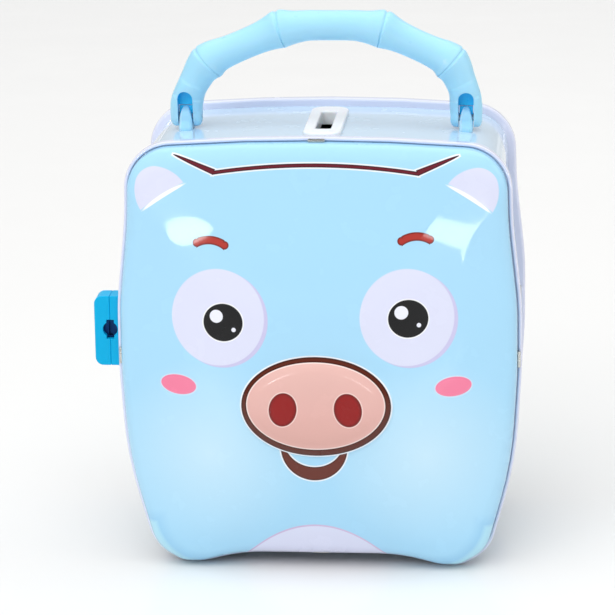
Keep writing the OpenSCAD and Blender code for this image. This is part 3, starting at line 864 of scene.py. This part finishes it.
def lug(side, name, node):
    """A tongue with a rounded head on a short flared foot, and the stem that goes through the band."""
    x = TOP_X + side * LUG_X
    floor = band_top(x)
    levels = 26
    rings = []
    for k in range(levels + 1):
        z = floor - 0.05 + (PIVOT_Z + HEAD_R - floor + 0.05) * k / levels
        rise = z - PIVOT_Z
        if rise > 0:
            rise = HEAD_R * math.sin(math.pi / 2 * rise / HEAD_R)
            z = PIVOT_Z + rise
            deep = math.sqrt(max(0.01, HEAD_R ** 2 - rise ** 2))
        else:
            deep = HEAD_R + ramp(-rise / 3.6) ** 1.5
        wide = TONGUE_W / 2 * math.sqrt(max(0.03, 1 - (max(0, rise + 2.5) / 5.95) ** 2))
        section = rounded(0, 0, 2 * wide, 2 * deep, 0.45 * min(wide, deep), 5)
        rings.append([(x + px, py, z) for px, py in section])
    verts, faces = loops(rings, closed_profile=False)
    n = len(rings[0])
    faces += [tuple(range(n)), tuple(range(len(verts) - 1, len(verts) - 1 - n, -1))]
    obj = new_object(name, verts, faces, [TONGUE])
    fix_normals(obj)
    stem = prism("stem", rectangle(x - 1.7, x + 1.7, -3, 3), "z", PIVOT_Z - 6.6, floor + 0.4, TONGUE, 0.15, 2)
    # The core fills the handle's slot from side to side, and shows in it as a deeper blue that is painted
    # shade
    plate = rectangle(x - TONGUE_W / 2, x + TONGUE_W / 2, floor + 0.2, PIVOT_Z + 3.3)
    core = prism("core", plate, "y", -1, 1, SLOT_SHADE, 0.1)
    combine(obj, (stem, core), "UNION")
    combine(obj, [cutter(disc(PIN_R + 0.06, 0, PIVOT_Z), "x", x - 5, x + 5, TONGUE)], "DIFFERENCE")
    finish_piece(obj, "case", [node], 45)


def band_top(x):
    """The height of the band's outer surface at a point of its top."""
    points = sorted((p.x, p.y) for p in outline(BAND_IN) if p.y > SHOULDER_Z - 15 and abs(p.x) < 50)
    for (x0, z0), (x1, z1) in zip(points, points[1:]):
        if x0 <= x <= x1:
            return z0 + (z1 - z0) * (x - x0) / (x1 - x0)
    return points[-1][1]


HANDLE_PATH = [(0, GRIP_Z, 0), (7, GRIP_Z, 30), (15.3, GRIP_Z - 1.1, 8), (37, GRIP_Z - 10.7, 12),
               (LUG_X, PIVOT_Z + 6.1, 20), (LUG_X, PIVOT_Z - 3.1, 0)]
HANDLE_RINGS = [Vector((15.3, GRIP_Z - 1.2)), Vector((36.5, GRIP_Z - 11))]
FORK_TOP = PIVOT_Z + 5.8
FORK_GAP = 4.6
FORK_WEB = 1.2
WEB_BOTTOM = PIVOT_Z + 3.55
POCKET_BOTTOM = PIVOT_Z + 3.2


def handle_half():
    """The right half of the handle's middle line, with close points at its ring seams."""
    points = [Vector(HANDLE_PATH[0][:2])]
    for i in range(1, len(HANDLE_PATH) - 1):
        before, here, after = (Vector(HANDLE_PATH[i + k][:2]) for k in (-1, 0, 1))
        a, b = (here - before).normalized(), (after - here).normalized()
        reach = HANDLE_PATH[i][2] * (b - a).length / (a + b).length
        p, q = here - reach * a, here + reach * b
        for k in range(13):
            w = k / 12
            points.append(p * (1 - w) ** 2 + here * 2 * w * (1 - w) + q * w * w)
    points.append(Vector(HANDLE_PATH[-1][:2]))
    out = []
    for a, b in zip(points, points[1:]):
        place = 0
        span = (b - a).length
        while place < span - 1e-6:
            here = a.lerp(b, place / span)
            out.append(here)
            close = min((here - ring).length for ring in HANDLE_RINGS)
            place += 0.11 if close < 1.2 else 0.7
    out.append(points[-1])
    return out


def handle():
    """A bamboo-shaped grip that flares at each ring seam, with a forked leg over each lug."""
    half = handle_half()
    line = [Vector((-p.x, p.y)) for p in reversed(half[1:])] + half
    sides = 48
    rings = []
    for i, p in enumerate(line):
        ahead = line[min(i + 1, len(line) - 1)] - line[max(i - 1, 0)]
        ahead.normalize()
        own = Vector((abs(p.x), p.y))
        close = min((own - ring).length for ring in HANDLE_RINGS)
        flare = (RING_R - GRIP_R) * math.exp(-(close / FLARE_W) ** 1.4)
        seam = SEAM_D * math.exp(-(close / SEAM_W) ** 2)
        radius = GRIP_R + flare - seam
        shift = LEAN * max(0, p.y - PIVOT_Z - 4) / (GRIP_Z - PIVOT_Z - 4)
        # Below the shoulder each leg is pressed flat in depth, and its tip is round about the pivot
        rise = p.y - PIVOT_Z
        if own.x > 30 and rise < 10:
            depth = LEG_R + 1.8 * ramp(rise / 9)
            depth *= math.sqrt(max(0.02, 1 - min(0, rise / LEG_R) ** 2))
            tip_in = 1 - math.sqrt(1 - max(0, min(1, -rise / LEG_R)) ** 2)
            wide = max(radius, GRIP_R + 0.4 * ramp((10 - rise) / 6)) - 1.3 * tip_in
        else:
            depth = wide = radius
        ring = []
        for k in range(sides):
            t = 2 * math.pi * k / sides
            c, s = math.cos(t), math.sin(t)
            flat = 0.8 if depth < radius - 0.2 else 1
            y = depth * math.copysign(abs(s) ** flat, s)
            w = wide * math.copysign(abs(c) ** flat, c)
            ring.append((p.x + shift + TOP_X - ahead.y * w, y, p.y + ahead.x * w))
        rings.append(ring)
    verts, faces = loops(rings, closed_profile=False)
    faces += [tuple(range(sides)), tuple(range(len(verts) - 1, len(verts) - 1 - sides, -1))]
    obj = new_object("bamboo_handle", verts, faces, [GRIP])
    fix_normals(obj)
    cutters = []
    for side in (-1, 1):
        x = TOP_X + side * LUG_X
        # The slot runs right through round the lug, and is closed by a web above it; its cut faces get the
        # deeper blue of painted shade
        left, right = x - FORK_GAP / 2, x + FORK_GAP / 2
        cutters.append(cutter(rectangle(left, right, PIVOT_Z - 9, WEB_BOTTOM), "y", -9, 9, SLOT_SHADE))
        top = rectangle(left, right, POCKET_BOTTOM, FORK_TOP)[:2]
        top += disc(FORK_GAP / 2, x, FORK_TOP, 24, 0, 180)
        for low, high in ((-9, -FORK_WEB / 2), (FORK_WEB / 2, 9)):
            cutters.append(cutter(top, "y", low, high, SLOT_SHADE))
        cutters.append(cutter(disc(PIN_R + 0.02, 0, PIVOT_Z), "x", x - 8, x + 8, GRIP))
    combine(obj, cutters, "DIFFERENCE")
    finish_piece(obj, "handle", ["handle_grip"], 40)


# ---------------------------------------------------------------------------------------------
# Lock
# ---------------------------------------------------------------------------------------------
def lock_half(name, points, node):
    """One half of the lock's case, with its share of the keyhole, barrel bore, cam room and screw holes."""
    obj = prism(name, points, "y", -LOCK_FRONT, -LOCK_BACK, LOCK, 0.3)
    key_slot = rectangle(-KEY_X - KEYHOLE_W, -KEY_X + KEYHOLE_W, KEY_Z - KEYHOLE_H, KEY_Z + KEYHOLE_H)
    cam_room = rectangle(-KEY_X - 3.5, -50, KEY_Z - 3.5, KEY_Z + CAM_ROOM_Z)
    cutters = [
        cutter(disc(KEYHOLE_R, -KEY_X, KEY_Z), "y", -LOCK_FRONT - 1, -CAM_FRONT, LOCK),
        cutter(key_slot, "y", -LOCK_FRONT - 1, -LOCK_FRONT + 2, LOCK),
        cutter(disc(BARREL_R, -KEY_X, KEY_Z), "y", -LOCK_FRONT + 1.7, -CAM_FRONT + 0.1, LOCK),
        cutter(cam_room, "y", -CAM_FRONT - 0.3, -CAM_FRONT + CAM_ROOM_Y, LOCK),
    ]
    for z in (-SCREW_Z, SCREW_Z):
        cutters.append(cutter(disc(1.12, SCREW_Y, KEY_Z + z), "x", -KEY_X - 3.2, -50, LOCK))
    combine(obj, cutters, "DIFFERENCE")
    finish_piece(obj, "case", [node], 35)


def lock_case():
    """The lock's two halves, which meet in the plane of the key's axis."""
    low, high = LOCK_Z - LOCK_H / 2, LOCK_Z + LOCK_H / 2
    outer = disc(LOCK_R, -LOCK_X + LOCK_R, high - LOCK_R, 8, 90, 90)
    outer += disc(LOCK_R, -LOCK_X + LOCK_R, low + LOCK_R, 8, 180, 90)
    lock_half("lock_cover", outer + [(-KEY_X, low), (-KEY_X, high)], "lock_case_outer")
    lock_half("lock_body", rectangle(-KEY_X, -HALF_W + BAND_IN + 0.02, low, high), "lock_case_inner")


# ---------------------------------------------------------------------------------------------
# Small parts that keep their frame shape
# ---------------------------------------------------------------------------------------------
def dress(node, material, bevel):
    """A frame node keeps its shape and gets a material and softly rounded edges."""
    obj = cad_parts[node]
    for slot_number in range(len(obj.material_slots)):
        obj.material_slots[slot_number].material = material
    if not obj.material_slots:
        obj.data.materials.append(material)
    soft = obj.modifiers.new("soft_edges", "BEVEL")
    soft.width = bevel / 1000
    soft.segments = 2
    soft.limit_method = "ANGLE"
    soft.angle_limit = math.radians(50)


def small_parts():
    """Steel parts and the barrel, dressed as the CAD has them."""
    plated = (
        "lock_screws", "hinge_rivets", "hinge_pin", "hinge_leaf_case", "hinge_leaf_door", "catch_bracket",
        "catch_rivets", "lock_cam", "cam_screw", "handle_pins", "lug_spring_plates",
    )
    for node in plated:
        dress(node, PLATE, 0.1)
    dress("lock_barrel", BARREL, 0.08)


# ---------------------------------------------------------------------------------------------
# Floor, lights and camera
# ---------------------------------------------------------------------------------------------
def floor():
    """A wide pale floor, which is only there for the picture."""
    mesh = bpy.data.meshes.new("floor")
    reach = 8
    corners = [(-reach, -reach, 0), (reach, -reach, 0), (reach, reach, 0), (-reach, reach, 0)]
    mesh.from_pydata(corners, [], [(0, 1, 2, 3)])
    obj = bpy.data.objects.new("floor", mesh)
    bpy.context.scene.collection.objects.link(obj)
    skin = Skin("floor_laminate", IOR=1.45)
    skin.paint(skin.uneven(skin.colour("F3F2F0"), 0.008, 400))
    skin.gloss(0.16, 0.24, 60)
    mesh.materials.append(skin.material)


def compass(azimuth, elevation, distance, around_point):
    """A place that far from a point, where azimuth 0 is straight in front and 90 to the right."""
    a, e = math.radians(azimuth), math.radians(elevation)
    step = Vector((math.sin(a) * math.cos(e), -math.cos(a) * math.cos(e), math.sin(e)))
    return Vector(around_point) + distance * step


def lamp(name, kind, energy, matrix, glossy=True, diffuse=True):
    """A lamp that the camera does not see, and that can be left out of reflections or of soft light."""
    data = bpy.data.lights.new(name, kind)
    data.energy = energy
    obj = bpy.data.objects.new(name, data)
    bpy.context.scene.collection.objects.link(obj)
    obj.matrix_world = matrix
    obj.visible_camera = False
    obj.visible_glossy = glossy
    obj.visible_diffuse = diffuse
    return data


def facing(place, aim, along=None):
    """The matrix of a lamp that looks at a point, with its long side in one direction."""
    back = (Vector(place) - Vector(aim)).normalized()
    side = Vector(along or Vector((0, 0, 1)).cross(back))
    side = (side - back * side.dot(back)).normalized()
    turn = Matrix((side, back.cross(side), back)).transposed().to_4x4()
    return Matrix.Translation(place) @ turn


def softbox(name, place, size, power, glossy=True, diffuse=True):
    """A rectangular lamp that looks at the middle of the part."""
    data = lamp(name, "AREA", power, facing(place, (0, 0, 0.08)), glossy, diffuse)
    data.shape = "RECTANGLE"
    data.size, data.size_y = size


LAMP_AWAY = 0.45


def strip_lamp(name, start, end, point, width, radiance, shape):
    """A lamp that only shows as a reflection, set by its two ends as seen from a point."""
    ends = [compass(azimuth, elevation, LAMP_AWAY, point) for azimuth, elevation in (start, end)]
    along = ends[1] - ends[0]
    area = along.length * width
    data = lamp(name, "AREA", radiance * math.pi * area, facing((ends[0] + ends[1]) / 2, point, along),
                diffuse=False)
    data.shape = shape
    data.size, data.size_y = along.length, width


def studio():
    """A pale sky, soft lamps round the part and two small ones for the patches on the door."""
    bpy.context.scene.view_settings.view_transform = "Standard"
    world = bpy.context.scene.world or bpy.data.worlds.new("studio")
    bpy.context.scene.world = world
    world.use_nodes = True
    background = world.node_tree.nodes["Background"]
    background.inputs["Color"].default_value = (0.93, 0.96, 1, 1)
    background.inputs["Strength"].default_value = 0.2
    sky = lamp("sky_fill", "SUN", 2.2, facing(compass(-20, 63, 3, (0, 0, 0)), (0, 0, 0)), glossy=False)
    sky.angle = math.radians(70)
    softbox("overhead", (0.1, 0.5, 1.5), (2.2, 2.0), 12)
    softbox("front_fill", (-0.7, -1.6, 0.8), (1.2, 1.2), 6.5, glossy=False)
    softbox("right_fill", (1.5, -0.2, 0.5), (1.0, 1.2), 5)
    softbox("back_glow", (0.2, 2.2, 0.55), (4.5, 1.3), 8, diffuse=False)
    # The two bright patches on the upper corners of the door's panel
    left = TO_FRAME @ Vector((-34.7, -39.7, 105))
    right = TO_FRAME @ Vector((36.7, -39.7, 104))
    strip_lamp("left_lamp", (-26, -7), (-11, 3.3), left, 0.014, 15, "ELLIPSE")
    strip_lamp("right_window", (4, 1.8), (20.3, -9.3), right, 0.011, 15, "RECTANGLE")


def camera():
    """The view of the photo, as fitted to the outline, the slot, the lugs and the lock."""
    azimuth, elevation, distance = 5.1, 15.2, 0.931
    roll = math.radians(0.8)
    aim = TO_FRAME @ Vector((-6.0, 0, 71.7))
    place = compass(azimuth, elevation, distance, aim)
    data = bpy.data.cameras.new("camera")
    data.sensor_width = 36
    data.lens = 177.9
    data.clip_start = 0.01
    obj = bpy.data.objects.new("camera", data)
    bpy.context.scene.collection.objects.link(obj)
    back = (place - aim).normalized()
    right = Vector((0, 0, 1)).cross(back).normalized()
    up = back.cross(right)
    leaned_right = right * math.cos(roll) - up * math.sin(roll)
    leaned_up = right * math.sin(roll) + up * math.cos(roll)
    turn = Matrix((leaned_right, leaned_up, back)).transposed().to_4x4()
    obj.matrix_world = Matrix.Translation(place) @ turn
    bpy.context.scene.camera = obj


camera()
studio()
floor()
face_panel()
rear_panel()
rim("front_bead", "door", "door_rim", BEAD_W + LIP_W, -1)
rim("rear_bead", "case", "rear_rim", BEAD_W + 2, 1)
band()
clips()
bezel()
lug(-1, "lug_tongue_left", "handle_lug_left")
lug(1, "lug_tongue_right", "handle_lug_right")
handle()
lock_case()
small_parts()
